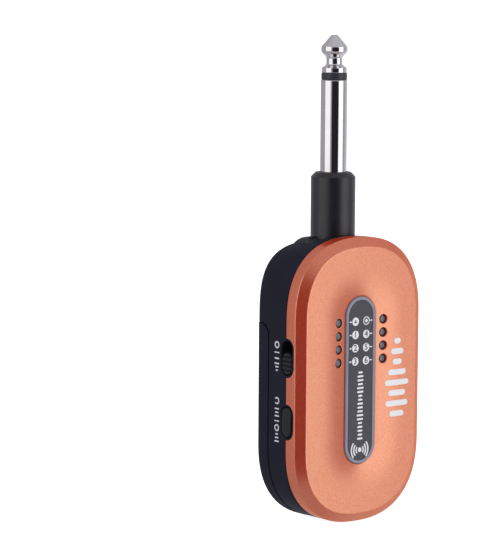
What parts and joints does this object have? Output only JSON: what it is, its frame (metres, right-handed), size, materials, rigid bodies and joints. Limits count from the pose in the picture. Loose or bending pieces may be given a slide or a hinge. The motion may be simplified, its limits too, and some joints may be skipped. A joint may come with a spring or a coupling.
{
  "type": "wireless guitar transmitter",
  "caption": "Pocket wireless transmitter with a fold-back quarter-inch phone plug, dished front cover, slide switch and push button.",
  "frame": {"origin": "on the plug's axis, where the chrome sleeve leaves the top face of the black collar", "axes": "+Z along the plug towards its tip, -Y towards the front cover, +X to the right seen from the front"},
  "size_m": [0.0388, 0.0166, 0.1149],
  "materials": {
    "orange_metal": "satin, with a fine metallic flake",
    "matte_black": "matte",
    "satin_black": "satin",
    "chrome": "polished",
    "grey_rim": "satin",
    "label_grey": "satin",
    "smoked_lens": "clear gloss",
    "chip": "satin",
    "steel": "bright",
    "board": "solder mask",
    "foil": "foil wrap",
    "foam": "matte"
  },
  "bodies": {
    "plug": {"swivel_arm": "satin_black", "plug_sleeve": "chrome", "plug_insulator": "satin_black", "plug_tip": "chrome"},
    "housing": {"front_cover": "orange_metal", "label_frame": "grey_rim", "label_plate": "label_grey", "light_pipe_left_1": "smoked_lens", "light_pipe_left_2": "smoked_lens", "light_pipe_left_3": "smoked_lens", "light_pipe_left_4": "smoked_lens", "light_pipe_right_1": "smoked_lens", "light_pipe_right_2": "smoked_lens", "light_pipe_right_3": "smoked_lens", "light_pipe_right_4": "smoked_lens", "light_chip_left_1": "chip", "light_chip_left_2": "chip", "light_chip_left_3": "chip", "light_chip_left_4": "chip", "light_chip_right_1": "chip", "light_chip_right_2": "chip", "light_chip_right_3": "chip", "light_chip_right_4": "chip", "frame": "matte_black", "rear_cover": "matte_black", "rear_screw_1": "steel", "rear_screw_2": "steel", "rear_screw_3": "steel", "rear_screw_4": "steel", "board_screw_upper": "steel", "board_screw_lower": "steel", "circuit_board": "board", "radio_shield": "steel", "chip_antenna": "chip", "battery": "foil", "battery_pad": "foam", "charging_socket": "steel", "socket_tongue": "satin_black", "switch_case": "steel", "button_case": "steel", "hinge_pin_left": "steel", "hinge_pin_right": "steel", "hinge_clip_left": "steel", "hinge_clip_right": "steel"},
    "power_switch": {"switch_knob": "satin_black", "switch_stem": "chip"},
    "mode_button": {"push_button": "satin_black", "button_plunger": "chip"}
  },
  "joints": [
    {"name": "plug_fold", "type": "hinge", "parent": "plug", "child": "housing", "pos_m": [0, 0, -0.0218], "axis": [1, 0, 0], "range_deg": [0, 90]},
    {"name": "power_slide", "type": "slide", "parent": "housing", "child": "power_switch", "axis": [0, 0, 1], "range_m": [0, 0.0022]},
    {"name": "button_press", "type": "slide", "parent": "housing", "child": "mode_button", "axis": [1, 0, 0], "range_m": [0, 0.0005], "stiffness_N_per_m": 800, "springref_m": -0.0002}
  ]
}
